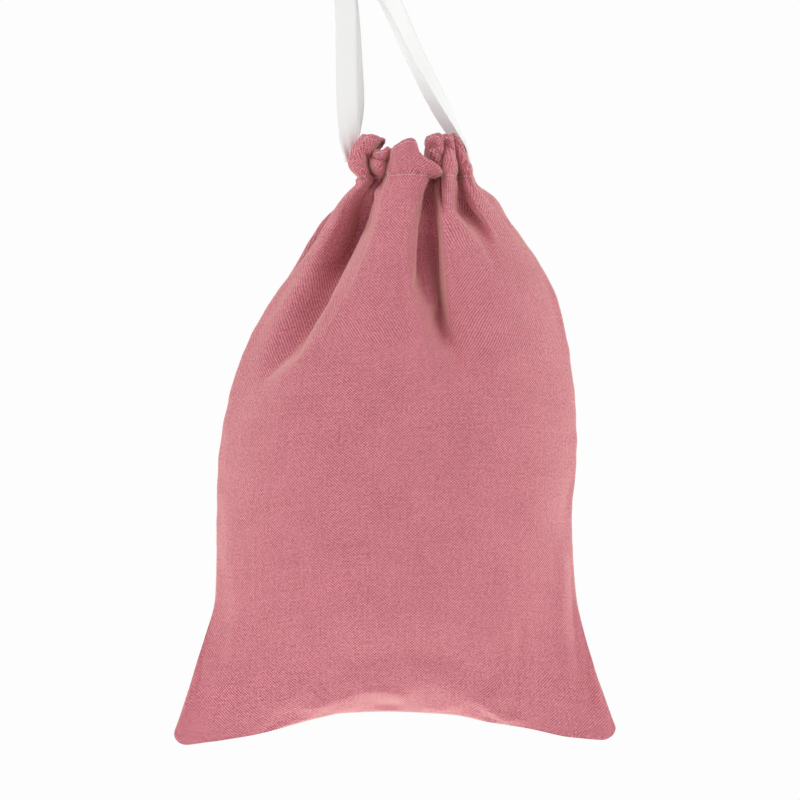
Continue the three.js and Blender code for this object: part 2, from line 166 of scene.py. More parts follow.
# The front edge of the neck, fold by fold from the left seam to the right one: where it lies at the
# hem's stitches (x, y), at the ribbon (x, y) and at the head of the hem (x, y, drop)
folds = [
    ((3.0, -1.5), (0.4, -0.8), (4.2, 0.5, 104.2)),
    ((1.9, -7.5), (-2.2, -8.5), (3.6, -8, 102.8)),
    ((3.2, -11.0), (-0.8, -12), (5.2, -12, 102.2)),
    ((6.0, -12.5), (2.0, -14.5), (8.2, -13.5, 102.2)),
    ((8.6, -9.5), (5.2, -11.0), (11.8, -11.0, 103.2)),
    ((9.0, -5.5), (6.6, -6.0), (14.2, -7.5, 104.4)),
    ((9.6, -5.0), (7.6, -6.5), (13.0, -6.0, 107.4)),
    ((11.2, -9.5), (8.2, -12.5), (9.6, -10.0, 109.2)),
    ((13.2, -8.5), (11.6, -15.0), (11.4, -14.5, 110.0)),
    ((14.0, -3.5), (15.6, -10.0), (16.0, -12.5, 108.6)),
    ((13.8, -6.5), (16.2, -6.0), (17.2, -8.0, 109.0)),
    ((14.4, -14.0), (15.8, -11.5), (16.8, -11.5, 109.4)),
    ((18.5, -19.5), (18.6, -16.8), (19.4, -16.5, 107.6)),
    ((24.0, -22.0), (23.6, -20.0), (23.6, -19.0, 105.0)),
    ((29.2, -21.5), (28.5, -20.5), (28.0, -18.0, 104.8)),
    ((33.2, -18.5), (33.2, -20.5), (29.0, -16.5, 109.6)),
    ((35.2, -14.0), (38.6, -19.5), (32.2, -18.5, 113.8)),
    ((35.2, -10.0), (40.0, -15.5), (38.2, -17.5, 119.0)),
    ((34.2, -6.5), (37.8, -10.5), (39.6, -12.5, 117.5)),
    ((34.0, -3.5), (34.5, -6.0), (34.8, -8.0, 109.6)),
    ((37.0, -3.0), (34.4, -4.5), (33.6, -9.5, 104.6)),
    ((39.0, -6.5), (35.6, -9.5), (35.2, -15.0, 102.6)),
    ((40.0, -9.5), (38.8, -13.0), (38.8, -17.0, 101.8)),
    ((41.0, -7.5), (41.6, -11.0), (41.6, -14.0, 102.8)),
    ((41.0, -9.5), (40.4, -7.5), (40.2, -9.5, 104.4)),
    ((41.8, -14.5), (41.2, -11.5), (39.8, -8.0, 102.8)),
    ((44.4, -16.0), (44.2, -14.5), (42.4, -10.5, 101.8)),
    ((47.4, -13.0), (46.8, -13.0), (45.2, -11.5, 102.4)),
    ((48.8, -7.0), (47.4, -7.5), (45.6, -8.0, 103.6)),
    ((50.0, -6.0), (48.4, -5.5), (45.4, -5.5, 101.8)),
    ((52.2, -10.5), (50.4, -9.8), (46.8, -8.5, 101.2)),
    ((55.0, -10.5), (52.4, -9.2), (48.8, -8.0, 103.2)),
    ((56.4, -6.0), (53.2, -5.0), (50.0, -4.0, 105.0)),
    ((56.4, -1.0), (52.8, -0.5), (49.6, 0.0, 105.4)),
    ((55.4, 1.5), (52.0, 1.5), (49.0, 1.5, 105.4)),
]
back_hem_drop = 5.5              # the back's hem leans away and so ends this much lower


def smooth(t):
    t = np.clip(t, 0, 1)
    return t * t * (3 - 2 * t)


def column_at(table, column, drop):
    """Value of a table's column at a drop, on a smooth curve that never overshoots."""
    x = [row[0] for row in table]
    y = [row[column] for row in table]
    drop = min(max(drop, x[0]), x[-1])
    i = min(int(np.searchsorted(x, drop, side="right")) - 1, len(x) - 2)
    rise = [(y[k + 1] - y[k]) / (x[k + 1] - x[k]) for k in range(len(x) - 1)]

    def slope(k):
        if k == 0 or k == len(x) - 1:
            return rise[min(k, len(rise) - 1)]
        a, b = rise[k - 1], rise[k]
        return 0 if a * b <= 0 else 2 * a * b / (a + b)

    span = x[i + 1] - x[i]
    t = (drop - x[i]) / span
    ends = y[i] + (y[i + 1] - y[i]) * t * t * (3 - 2 * t)
    return ends + span * (slope(i) * t * (1 - t) ** 2 + slope(i + 1) * t * t * (t - 1))


def through(points, shares):
    """Points at these shares of a smooth curve's point list."""
    points = np.asarray(points, float)
    points = np.vstack([2 * points[0] - points[1], points, 2 * points[-1] - points[-2]])
    place = np.asarray(shares) * (len(points) - 3)
    i = np.minimum(place.astype(int), len(points) - 4)
    t = (place - i)[:, None]
    a, b, c, d = (points[i + k] for k in range(4))
    return 0.5 * (2 * b + (c - a) * t + (2 * a - 5 * b + 4 * c - d) * t**2 + (3 * b - a - 3 * c + d) * t**3)


def run_length(points):
    return np.r_[0, np.cumsum(np.linalg.norm(np.diff(points, axis=0), axis=1))]


# Where each column of the cloth lies among the folds, by length along the hem's stitches
fine_shares = np.linspace(0, 1, 1500)
fine_length = run_length(through([fold[0] for fold in folds], fine_shares))


def fold_shares(column_shares):
    return np.interp(np.asarray(column_shares) * fine_length[-1], fine_length, fine_shares)


def turned_round(points):
    """The back of the neck has the front's folds the other way round."""
    points = points[::-1].copy()
    points[:, 0] = 2 * neck_centre - points[:, 0]
    points[:, 1] = -points[:, 1]
    return points


# Edges of the folds, by which the neck's shape passes into the body's: the point in the list of folds, the
# dent that it runs into, and that dent's left (1) or right (2) edge
edges = [(12, 0, 2), (16, 1, 1), (22, 1, 2), (27, 3, 1), (30, 3, 2)]


def section(drop, side, dented=None):
    """The cloth's path from the left seam to the right one at a drop, the lengths along it, and those
    at which the folds' edges lie; or, without a depth for its dents, the depth that uses up the cloth."""
    left, right, depth, swell = (column_at(outline, k, drop) for k in range(1, 5))
    u = np.linspace(-1, 1, 1200)
    x = (left + right) / 2 + u * (right - left) / 2
    # Full in the middle, and thinning out into flat corners further down
    flat_ears = smooth((drop - ears_start) / (corner_drop - ears_start))
    bulge = depth * (1 - np.abs(u) ** (3 - 0.8 * flat_ears)) ** (1 + 0.9 * flat_ears)
    from_seam = np.clip((1 + side * u) / 0.5, 0, 1)
    swollen = x - side * swell * np.sin(np.pi * from_seam**0.6) * (from_seam < 1)
    place = x if side < 0 else left + right - x
    middle_drop = hem_drop + (drop - hem_drop) * (middle_rise - hem_drop) / (corner_drop - hem_drop)
    dent = np.zeros_like(u)
    for line in dents:
        if line[0][0] <= middle_drop <= line[-1][0]:
            low, high, soft_low, soft_high, weight = (column_at(line, k, middle_drop) for k in range(1, 6))
            dent += weight * smooth((place - low) / soft_low) * smooth((high - place) / soft_high)
    wanted = cut_width * (gather_share + (1 - gather_share) * smooth((drop - hem_drop) / gather_reach))
    if dented is None:
        tries = np.linspace(0, deepest_dent, 60)
        used = [run_length(np.c_[swollen, bulge - deep * dent])[-1] for deep in tries]
        has_dents = used[-1] > used[0] + 0.5
        return np.interp(wanted, used, tries) if has_dents else deepest_dent
    path = np.c_[swollen, side * (bulge - dented * dent)]
    length = run_length(path)
    at = [column_at(dents[k], column, middle_drop) for _, k, column in edges]
    marks = [length[int(np.argmin(np.abs(place - edge)))] / length[-1] for edge in at]
    return path, length / length[-1], np.r_[0, sorted(marks), 1]


def at_shares(path, own_shares, shares):
    return np.c_[np.interp(shares, own_shares, path[:, 0]), np.interp(shares, own_shares, path[:, 1])]


# The bottom seam hangs lowest at its corners, and the filling draws its middle up: x, drop
bottom_edge = [(-86.4, 391.5), (-50, 386.4), (-20, 378.8), (-6, 376), (14, middle_rise), (46, 376.6),
               (63, 379.9), (82, 382.9), (102, 387), (124.8, 388.8)]


def bottom_drop(x):
    table = np.linspace(bottom_edge[0][0], bottom_edge[-1][0], 300)
    return np.interp(x, table, [column_at(bottom_edge, 1, place) for place in table])


def hung_panel(side):
    """Grid of points, rows from the bottom seam up to the hem's stitches."""
    shares = np.linspace(0, 1, columns + 1)
    neck = through([fold[0] for fold in folds], fine_shares)
    neck_marks = np.interp([k / (len(folds) - 1) for k, _, _ in edges], fine_shares, fine_length)
    neck_marks = np.r_[0, neck_marks / fine_length[-1], 1]
    if side > 0:
        neck = turned_round(neck)
        neck_marks = 1 - neck_marks[::-1]
    neck_shares = run_length(neck)
    neck_shares /= neck_shares[-1]
    grid = np.zeros((rows + 1, columns + 1, 3))
    drops = np.linspace(corner_drop, hem_drop, rows + 1)
    # The depth of the dents changes slowly from row to row
    dented = np.array([section(drop, side) for drop in drops])
    near_rows = 12
    spread = np.exp(-(np.arange(-near_rows, near_rows + 1) / 5) ** 2)
    dented = np.convolve(np.pad(dented, near_rows, mode="edge"), spread / spread.sum(), mode="valid")
    for i in range(rows + 1):
        up = i / rows
        drop = drops[i]
        path, own_shares, marks = section(drop, side, dented[i])
        near_neck = 1 - smooth((drop - hem_drop) / neck_reach)
        mixed = marks + (neck_marks - marks) * near_neck
        body = at_shares(path, own_shares, np.interp(shares, mixed, marks))
        edge = at_shares(neck, neck_shares, np.interp(shares, mixed, neck_marks))
        # The neck's folds run down to where the body's dents lie, and open a little on the way
        shift = np.interp(marks, own_shares, path[:, 0]) - np.interp(neck_marks, neck_shares, neck[:, 0])
        edge[:, 0] += np.interp(shares, mixed, shift) * smooth((drop - hem_drop) / 9 + 0.1)
        edge[:, 1] *= 1 + 0.012 * (drop - hem_drop)
        grid[i, :, :2] = body + (edge - body) * near_neck
        grid[i, :, 2] = -(hem_drop + (bottom_drop(grid[i, :, 0]) - hem_drop) * (1 - up))
    # The corners were sewn round
    from_side = np.minimum(shares, 1 - shares)[None, :] * cut_width
    from_foot = (np.arange(rows + 1) * grid_pitch)[:, None]
    a = np.clip(1 - from_side / corner_radius, 0, 1)
    b = np.clip(1 - from_foot / corner_radius, 0, 1)
    grid[:, :, 0] += np.where(shares < 0.5, 1, -1) * corner_radius * a * (1 - np.sqrt(1 - b**2 / 2))
    grid[:, :, 2] += corner_radius * b * (1 - np.sqrt(1 - a**2 / 2))
    return grid


panels = {side: hung_panel(side) for side in (-1, 1)}
seams = (panels[-1][:, [0, -1]] + panels[1][:, [0, -1]]) / 2
for panel in panels.values():
    panel[:, [0, -1]] = seams
    panel[0] = (panels[-1][0] + panels[1][0]) / 2


settle_frames = 30
fold_hold = 0.2                  # how firmly the springs hold the cloth away from its seams
fold_spring = 0.2
filling_pressure = 2.0


def settled(panels):
    """The hung panels after the cloth has settled on its filling. Blender's cloth bends and stretches it
    from the flat cut, soft springs hold its folds in place, and the filling is a pressure."""
    scale = 10                   # the solver is steadier on a larger bag
    index = {side: np.arange((rows + 1) * (columns + 1)).reshape(rows + 1, -1) for side in (-1, 1)}
    inner = np.zeros((rows + 1, columns + 1), bool)
    inner[1:, 1:-1] = True
    index[1][inner] = index[-1].size + np.arange(inner.sum())
    points = np.concatenate([panels[-1].reshape(-1, 3), panels[1][inner]])
    flat = np.stack(np.meshgrid(np.arange(columns + 1) * grid_pitch,
                                np.arange(rows + 1) * grid_pitch), axis=2)
    lift = np.where(inner, 0.05, 0.0)    # keeps the two flat panels apart
    rest = np.concatenate([
        np.c_[flat[..., 0].ravel(), -lift.ravel(), flat[..., 1].ravel()],
        np.c_[flat[inner][:, 0], lift[inner], flat[inner][:, 1]],
    ])
    quads = []
    for side in (-1, 1):
        k = index[side]
        faces = np.stack([k[:-1, :-1], k[:-1, 1:], k[1:, 1:], k[1:, :-1]], axis=2).reshape(-1, 4)
        quads += (faces if side < 0 else faces[:, ::-1]).tolist()
    rim = index[-1][-1].tolist() + index[1][-1, -2:0:-1].tolist()
    cap = len(points)
    points = np.vstack([points, points[rim].mean(axis=0)])
    rest = np.vstack([rest, [cut_width / 2, 0, cut_height]])
    quads += [[a, b, cap] for a, b in zip(rim, rim[1:] + rim[:1])]

    mesh = bpy.data.meshes.new("settling")
    mesh.from_pydata((points * mm * scale).tolist(), [], quads)
    cloth = bpy.data.objects.new("settling", mesh)
    bpy.context.scene.collection.objects.link(cloth)
    cloth.shape_key_add(name="Basis")
    flat_key = cloth.shape_key_add(name="flat cut")
    flat_key.data.foreach_set("co", (rest * mm * scale).ravel())
    flat_key.value = 0
    held = cloth.vertex_groups.new(name="held")
    # The springs are firm along the seams and soft inside them
    from_edge = np.minimum(np.minimum(flat[..., 0], cut_width - flat[..., 0]) * 0.5 + 4, flat[..., 1])
    firm = fold_hold + (1 - fold_hold) * (1 - smooth(from_edge / 14)) * 0.9
    for k, weight in enumerate(np.concatenate([firm.ravel(), firm[inner]])):
        held.add([k], float(weight), "REPLACE")
    held.add(rim + [cap], 1.0, "REPLACE")
    modifier = cloth.modifiers.new("settling", "CLOTH")
    linen_cloth = modifier.settings
    linen_cloth.vertex_group_mass = "held"
    linen_cloth.pin_stiffness = fold_spring
    linen_cloth.rest_shape_key = flat_key
    linen_cloth.quality = 8
    linen_cloth.mass = 0.3
    linen_cloth.air_damping = 2
    linen_cloth.tension_stiffness = 80
    linen_cloth.compression_stiffness = 60
    linen_cloth.shear_stiffness = 10
    linen_cloth.bending_model = "ANGULAR"
    linen_cloth.bending_stiffness = 8
    linen_cloth.use_pressure = True
    linen_cloth.uniform_pressure_force = filling_pressure
    linen_cloth.effector_weights.gravity = 0.3
    modifier.collision_settings.use_collision = False
    modifier.point_cache.frame_end = settle_frames
    for frame_number in range(1, settle_frames + 1):
        bpy.context.scene.frame_set(frame_number)
    shape = cloth.evaluated_get(bpy.context.evaluated_depsgraph_get()).data
    moved = np.empty(len(points) * 3, np.float32)
    shape.vertices.foreach_get("co", moved)
    moved = moved.reshape(-1, 3).astype(float) / (mm * scale)
    bpy.data.objects.remove(cloth)
    return {side: moved[index[side]] for side in (-1, 1)}


panels = settled(panels)
bpy.context.scene.frame_set(1)


def finer(grid):
    """Twice as many rows and columns, on smooth curves through the grid's points."""
    for _ in range(2):
        count = len(grid)
        flat = grid.reshape(count, -1)
        grid = through(flat, np.linspace(0, 1, 2 * count - 1)).reshape(2 * count - 1, *grid.shape[1:])
        grid = grid.swapaxes(0, 1)
    return grid


def outward(grid, side):
    """Unit normals of a grid, away from the inside of the bag."""
    normals = np.cross(np.gradient(grid, axis=1), np.gradient(grid, axis=0))
    return normals / np.maximum(np.linalg.norm(normals, axis=2, keepdims=True), 1e-9)


# The hem is the panels' own top edge, turned down twice and sewn along its head and its foot, which
# leaves a tunnel for the ribbons between the two rows of stitches.
hem_rows = 24
hem_height = 20.9
tunnel_puff = 0.5
hem_gap = 0.5                    # half the thickness of the folded hem at its stitches
foot_stitches = 0.04             # rows of stitches, as shares of the hem's height
head_stitches = 0.93
ribbon_level = 0.45              # where the folds' middle points lie, as a share of the hem's height


# Creases pressed into the front: depth, half width, then points (x, drop); a negative depth is a ridge.
# Those round the filled bottom come first, then those that the gathering leaves in the neck.
creases = [
    (2.6, 8, (-20, 366), (-8, 356), (7, 348), (22, 345), (40, 348.5), (56, 357), (66, 366)),
    (-2.4, 3.2, (-27.5, 373), (-16, 371.6), (-5.5, 368), (7, 364.2), (16.5, 364.6), (25, 367)),
    (1.6, 2.2, (9, 371), (16.5, 371.8), (24, 371)),
    (-1.6, 2.6, (52, 368), (60, 372), (68, 377), (74, 380)),
    (1.2, 2, (61, 377), (66, 380), (70, 382)),
    (-1.8, 3.5, (98, 292), (98.8, 310), (99.2, 330), (101, 352), (104, 372)),
    (1.5, 1.6, (102.4, 300), (103.2, 320), (104.4, 340), (107, 362)),
    (-1.6, 5, (-62, 268), (-60, 290), (-58, 310), (-57, 335), (-60, 352)),
    (1.0, 2.4, (78, 330), (77.5, 348), (76, 366), (75, 378)),
    (4.2, 1.6, (4.6, 109.5), (5.6, 112.5), (7.3, 116.6), (10, 121.4), (11.9, 126.4)),
    (1.5, 0.9, (2.4, 120.2), (4.8, 123.1), (6.2, 126.4)),
    (1.5, 0.9, (5.4, 120.0), (8.1, 124), (9.5, 128)),
    (3.0, 1.1, (14.7, 104.5), (10.9, 107.2), (8.6, 109.4), (9, 112.6), (13.3, 114), (16.6, 112.1)),
    (3.0, 1.5, (16.8, 112.5), (14.9, 117.4), (13.4, 123), (12.4, 128)),
    (1.3, 1.1, (19, 104.8), (17.6, 108), (17.1, 111)),
    (0.9, 1.2, (27, 104.5), (26.2, 109), (26.8, 114)),
    (2.5, 0.9, (34.7, 104.4), (35.6, 102.2), (39, 102.4), (40.9, 105), (39.4, 107.2), (36.6, 106),
     (37.4, 104.4)),
    (2.3, 1.1, (35.2, 107.4), (39, 109.8), (40.9, 113.6)),
    (3.4, 1.2, (41.3, 105), (42.3, 110.7), (41.3, 116.4), (40.6, 123)),
    (3.2, 1.4, (42.8, 104), (46.6, 110.7), (48.5, 116.4), (48.5, 124)),
    (2.1, 1.2, (46.1, 101.6), (49.4, 106.9), (51.6, 113.6), (52.4, 118.3)),
    (1.5, 0.9, (48.9, 123), (50.4, 126.9), (52.3, 130)),
    (1.5, 0.9, (53, 119), (53.7, 123), (55.6, 127)),
    (2.3, 1.2, (32.8, 119.6), (36.6, 121), (38.6, 123.8)),
    (0.9, 0.9, (20, 119.6), (19.6, 122), (19, 126)),
    (0.9, 0.9, (24.4, 119.8), (24.3, 122), (24, 125)),
    (0.9, 0.9, (29, 119.8), (29.2, 122), (29, 125.4)),
]


def pressed(points):
    """How far the creases press these points of the front into the bag, in mm."""
    out = np.zeros(points.shape[:-1])
    for depth, width, *line in creases:
        line = through(line, np.linspace(0, 1, 24))
        gap = np.hypot(points[..., 0, None] - line[:, 0], -points[..., 2, None] - line[:, 1])
        nearest = gap.argmin(axis=-1) / (len(line) - 1)
        fade = smooth(np.minimum(nearest, 1 - nearest) / 0.15 + 0.25)
        out += depth * fade * np.exp(-(gap.min(axis=-1) / width) ** 1.5)
    return out


def hem_middle(side, column_shares, up):
    """Middle surface of the hem, from its foot to its head."""
    shares = fold_shares(column_shares)
    foot = np.c_[through([fold[0] for fold in folds], shares), np.full(len(shares), -hem_drop)]
    head = through([(x, y, -drop) for _, _, (x, y, drop) in folds], shares)
    ribbon = through([fold[1] for fold in folds], shares)
    ribbon = np.c_[ribbon, foot[:, 2] * (1 - ribbon_level) + head[:, 2] * ribbon_level]
    if side > 0:
        head[:, 2] -= back_hem_drop * smooth((head[:, 2] + hem_drop) / 12)
        head[:, 1] -= back_hem_drop * 0.8
        foot, ribbon, head = (turned_round(points) for points in (foot, ribbon, head))
        ribbon[:, 0] += (neck_centre - ribbon[:, 0]) * 0.2
        head[:, 0] += (neck_centre - head[:, 0]) * 0.26
    # From foot to head on a parabola through the ribbon's level
    t = np.asarray(up)[:, None, None]
    at = ribbon_level
    middle = (foot * (t - at) * (t - 1) / at + ribbon * t * (t - 1) / (at * (at - 1))
              + head * t * (t - at) / (1 - at))
    across = np.asarray(column_shares) * cut_width
    height = np.asarray(up) * hem_height
    if side < 0:
        middle[:, :, 1] += pressed(middle)
    return middle + outward(middle, side) * crumpled(across, height, side)[:, :, None]


def crumpled(across, along, side):
    """How far creased linen stands off its smooth shape, in mm: small creases that run down from the
    gathering, and slack places a few centimetres wide. along is measured up from the hem's stitches."""
    out = np.zeros((len(along), len(across)))
    for i, up in enumerate(along):
        gathered = 1 if up >= 0 else max(0, 1 + up / 70) ** 2
        long = 9 if up >= 0 else 26
        slack = 0 if up >= 0 else smooth(-up / 30)
        for j, x in enumerate(across):
            crease = noise.noise(Vector((x / 5, up / long, side * 9))) * 0.9
            crease += noise.noise(Vector((x / 2.2, up / long * 1.8, side * 9 + 4))) * 0.45
            place = noise.noise(Vector((x / 45, up / 45, side * 5))) * 1.6
            out[i, j] = gathered * crease + slack * place
    return out


seam_pull = 1.0                  # of the side seams' stitches on the cloth
seam_groove = 1.7                # half the width of the groove that they leave


def drawn_in(across, along):
    """How far the side seams' stitches draw the cloth in towards the middle, in mm."""
    from_side = np.minimum(across, cut_width - across)[None, :]
    up = (along - along[0])[:, None]
    free = smooth((up - 25) / 40) * smooth(-along[:, None] / 12)
    groove = np.exp(-(from_side / seam_groove) ** 2)
    return np.where(across < cut_width / 2, 1, -1) * free * seam_pull * groove


def puckered(across, along, from_seam):
    """How far the cloth stands up between the stitches of the seams round it, in mm."""
    out = np.zeros_like(from_seam)
    for i, j in zip(*np.nonzero((from_seam > 0) & (from_seam < 26))):
        place = Vector((across[j] / 9, along[i] / 9, 3))
        near = from_seam[i, j] / 4
        strong = 1.5 if along[i] - along[0] < 26 else 0.6
        out[i, j] = (0.1 + strong * noise.noise(place)) * near * math.exp(1 - near)
    return out


def hem_outside(side, column_shares, up):
    """Outer layer of the hem at these shares of its height."""
    up = np.asarray(up, float)
    middle = hem_middle(side, column_shares, up)
    puff = (hem_gap + tunnel_puff * in_tunnel(up)) * smooth(up / 0.2)
    return middle + outward(middle, side) * puff[:, None, None]


def in_tunnel(up):
    return np.sin(np.pi * np.clip((up - foot_stitches) / (head_stitches - foot_stitches), 0, 1)) ** 0.8


def hem(side, column_shares):
    """Rows of the folded hem: up the outside, over the head and down the inside to the stitches."""
    up = np.linspace(0, 1, hem_rows + 1)
    middle = hem_middle(side, column_shares, up)
    normals = outward(middle, side)
    out = hem_outside(side, column_shares, up)
    inside = middle - normals * (hem_gap + tunnel_puff * in_tunnel(up))[:, None, None]
    over = [middle[-1] + hem_gap * (normals[-1] * math.cos(a) + np.array([0, 0, 1]) * math.sin(a))
            for a in np.linspace(0, math.pi, 7)[1:-1]]
    return np.concatenate([out[1:], over, inside[::-1][:-1]])


def cloth_piece(name, side):
    """One panel with its hem, as a sheet with the cut's own coordinates for the weave to follow."""
    body = finer(panels[side])
    column_shares = np.linspace(0, 1, body.shape[1])
    across = column_shares * cut_width
    along = (np.arange(len(body)) - len(body) + 1) * grid_pitch / 2
    from_seam = np.minimum(np.minimum(across, cut_width - across), (along - along[0])[:, None])
    off = crumpled(across, along, side) * smooth(from_seam / 10) + puckered(across, along, from_seam)
    body = body + outward(body, side) * off[:, :, None]
    body[:, :, 0] += drawn_in(across, along)
    if side < 0:
        body[:, :, 1] += pressed(body) * smooth(from_seam / 3)
    grid = np.concatenate([body, hem(side, column_shares)])
    # The weave's own lengths: across, measured from the middle and evened over the rows nearby, and up
    steps = np.linalg.norm(np.diff(grid, axis=1), axis=2)
    across = np.c_[np.zeros(len(grid)), np.cumsum(steps, axis=1)]
    across -= across[:, [grid.shape[1] // 2]]
    near_rows = 18
    even = np.pad(across, ((near_rows, near_rows), (0, 0)), mode="edge")
    across = np.mean([even[k:k + len(across)] for k in range(2 * near_rows + 1)], axis=0)
    along = np.r_[np.arange(len(body)) * grid_pitch / 2,
                  cut_height + run_length(grid[len(body) - 1:, grid.shape[1] // 2])[1:]]
    cut = np.stack(np.broadcast_arrays(across, along[:, None]), axis=2)
    count, width = grid.shape[:2]
    index = np.arange(count * width).reshape(count, width)
    quads = np.stack([index[:-1, :-1], index[:-1, 1:], index[1:, 1:], index[1:, :-1]],
                     axis=2).reshape(-1, 4)
    if side > 0:
        quads = quads[:, ::-1]
    mesh = bpy.data.meshes.new(name)
    mesh.from_pydata((grid.reshape(-1, 3) * mm).tolist(), [], quads.tolist())
    mesh.shade_smooth()
    attribute = mesh.attributes.new("cut", "FLOAT_VECTOR", "POINT")
    vectors = np.concatenate([cut.reshape(-1, 2), np.full((count * width, 1), side)], axis=1)
    attribute.data.foreach_set("vector", vectors.astype(np.float32).ravel())
    piece = bpy.data.objects.new(name, mesh)
    bpy.context.scene.collection.objects.link(piece)
    solid = piece.modifiers.new("cloth thickness", "SOLIDIFY")
    solid.thickness = cloth_thickness * mm
    solid.offset = -1
    return piece


def colour(code):
    """sRGB hex value as linear RGBA."""
    parts = [int(code[k:k + 2], 16) / 255 for k in (1, 3, 5)]
    return tuple(c / 12.92 if c <= 0.04045 else ((c + 0.055) / 1.055) ** 2.4 for c in parts) + (1,)


def node(tree, kind, links=None, inputs=None, **settings):
    """Adds one shader node with its settings, its inputs' values and the links into it."""
    made = tree.nodes.new(kind)
    for key, value in settings.items():
        setattr(made, key, value)
    for key, value in (inputs or {}).items():
        made.inputs[key].default_value = value
    for key, source in (links or {}).items():
        tree.links.new(source, made.inputs[key])
    return made


yarn_pitch = 0.7                 # real linen of this weight has 0.6 mm; drawn coarser so that it shows
gap_shade_colour = "#8a3444"           # painted shade between the yarns
crest_highlight_colour = "#ea949f"         # painted highlight on top of a yarn


def woven_linen():
    """Plain-woven, piece-dyed linen. Every other crossing shows a warp yarn with a painted highlight on it,
    and the weft and the gaps between them have painted shade, so that the eye reads a fine slanting hatch.
    Slubs and uneven dye give soft streaks, and loose fibres a pale bloom where the cloth turns away."""
    material = bpy.data.materials.new("woven_linen")
    material.use_nodes = True
    tree = material.node_tree
    bsdf = tree.nodes["Principled BSDF"]
    cut = node(tree, "ShaderNodeAttribute", attribute_name="cut").outputs["Vector"]
    # Yarns don't lie quite straight
    waver = node(tree, "ShaderNodeTexNoise", {"Vector": cut}, {"Scale": 0.12, "Detail": 3.0})
    yarns = node(tree, "ShaderNodeVectorMath", {0: waver.outputs["Color"], 2: cut},
                 {1: (1.2 * yarn_pitch, 1.2 * yarn_pitch, 0)}, operation="MULTIPLY_ADD")
    phase = node(tree, "ShaderNodeVectorMath", {0: yarns.outputs[0]},
                 {1: (math.pi / yarn_pitch, math.pi / yarn_pitch, 0)}, operation="MULTIPLY")
    wave = node(tree, "ShaderNodeVectorMath", {0: phase.outputs[0]}, operation="SINE")
    across = node(tree, "ShaderNodeSeparateXYZ", {0: wave.outputs[0]})
    crossing = node(tree, "ShaderNodeMath", {0: across.outputs["X"], 1: across.outputs["Y"]},
                    operation="MULTIPLY")
    # Slubs: thicker stretches, some 30 mm long and one yarn wide, along both ways of the cloth
    slubs = []
    for stretch in ((0.9, 0.03, 0), (0.03, 0.9, 0)):
        along = node(tree, "ShaderNodeVectorMath", {0: cut}, {1: stretch}, operation="MULTIPLY")
        slubs.append(node(tree, "ShaderNodeTexNoise", {"Vector": along.outputs[0]},
                          {"Scale": 1.0, "Detail": 1.0}).outputs["Fac"])
    slub = node(tree, "ShaderNodeMath", {0: slubs[0], 1: slubs[1]}, operation="ADD")
    shade = node(tree, "ShaderNodeMapRange", {"Value": slub.outputs[0]},
                 {"From Min": 0.6, "From Max": 1.4, "To Min": -0.07, "To Max": 0.07})
    # No two crossings are alike, and the dye took unevenly over some 20 mm
    grain = node(tree, "ShaderNodeTexNoise", {"Vector": cut}, {"Scale": 0.9, "Detail": 1.0})
    cloud = node(tree, "ShaderNodeTexNoise", {"Vector": cut}, {"Scale": 0.05, "Detail": 2.0})
    uneven = node(tree, "ShaderNodeMath", {0: grain.outputs["Fac"], 2: shade.outputs[0]}, {1: 1.1},
                  operation="MULTIPLY_ADD")
    clouded = node(tree, "ShaderNodeMath", {0: cloud.outputs["Fac"], 2: uneven.outputs[0]}, {1: 0.2},
                   operation="MULTIPLY_ADD")
    tone = node(tree, "ShaderNodeMath", {0: crossing.outputs[0], 2: clouded.outputs[0]}, {1: 0.5},
                operation="MULTIPLY_ADD")
    level = node(tree, "ShaderNodeMapRange", {"Value": tone.outputs[0]},
                 {"From Min": 0.1, "From Max": 1.18, "To Min": 0.0, "To Max": 1.0})
    # Painted highlight on the yarns' crests and painted shade in the gaps between them, over the real slubs
    # and uneven dye
    dye_and_painted_weave_shade = node(tree, "ShaderNodeMix", {"Factor": level.outputs[0]}, data_type="RGBA")
    dye_and_painted_weave_shade.inputs["A"].default_value = colour(gap_shade_colour)
    dye_and_painted_weave_shade.inputs["B"].default_value = colour(crest_highlight_colour)
    bump = node(tree, "ShaderNodeBump", {"Height": tone.outputs[0]},
                {"Strength": 0.5, "Distance": 0.12 * mm})
    tree.links.new(dye_and_painted_weave_shade.outputs["Result"], bsdf.inputs["Base Color"])
    tree.links.new(bump.outputs[0], bsdf.inputs["Normal"])
    bsdf.inputs["Roughness"].default_value = 0.85
    bsdf.inputs["Sheen Weight"].default_value = 0.9
    bsdf.inputs["Sheen Roughness"].default_value = 0.45
    bsdf.inputs["Sheen Tint"].default_value = colour("#ffd8c6")
    return material


linen = woven_linen()
pieces = {}
for side, word in ((-1, "front"), (1, "back")):
    pieces[word] = cloth_piece(f"{word}_cloth", side)
    pieces[word].data.materials.append(linen)
    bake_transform(pieces[word])
    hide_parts(f"{word}_panel", f"{word}_casing")
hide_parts("left_side_seam", "right_side_seam", "bottom_seam")


# Stitches. Each row is one lockstitch seam through the folded hem, in thread a little paler than the
# cloth; every stitch sinks in at its ends, where the needle went through.
stitch_length = 2.1
stitch_pitch = 3.0               # along the cloth before it was gathered
thread_radius = 0.2


def spun_thread():
    """Spun polyester sewing thread: matt and a little fuzzy, so that its stitches are pale dashes without a
    glint."""
    material = bpy.data.materials.new("spun_polyester_thread")
    material.use_nodes = True
    bsdf = material.node_tree.nodes["Principled BSDF"]
    bsdf.inputs["Base Color"].default_value = colour("#d8b8b2")
    bsdf.inputs["Roughness"].default_value = 0.7
    return material


thread = spun_thread()


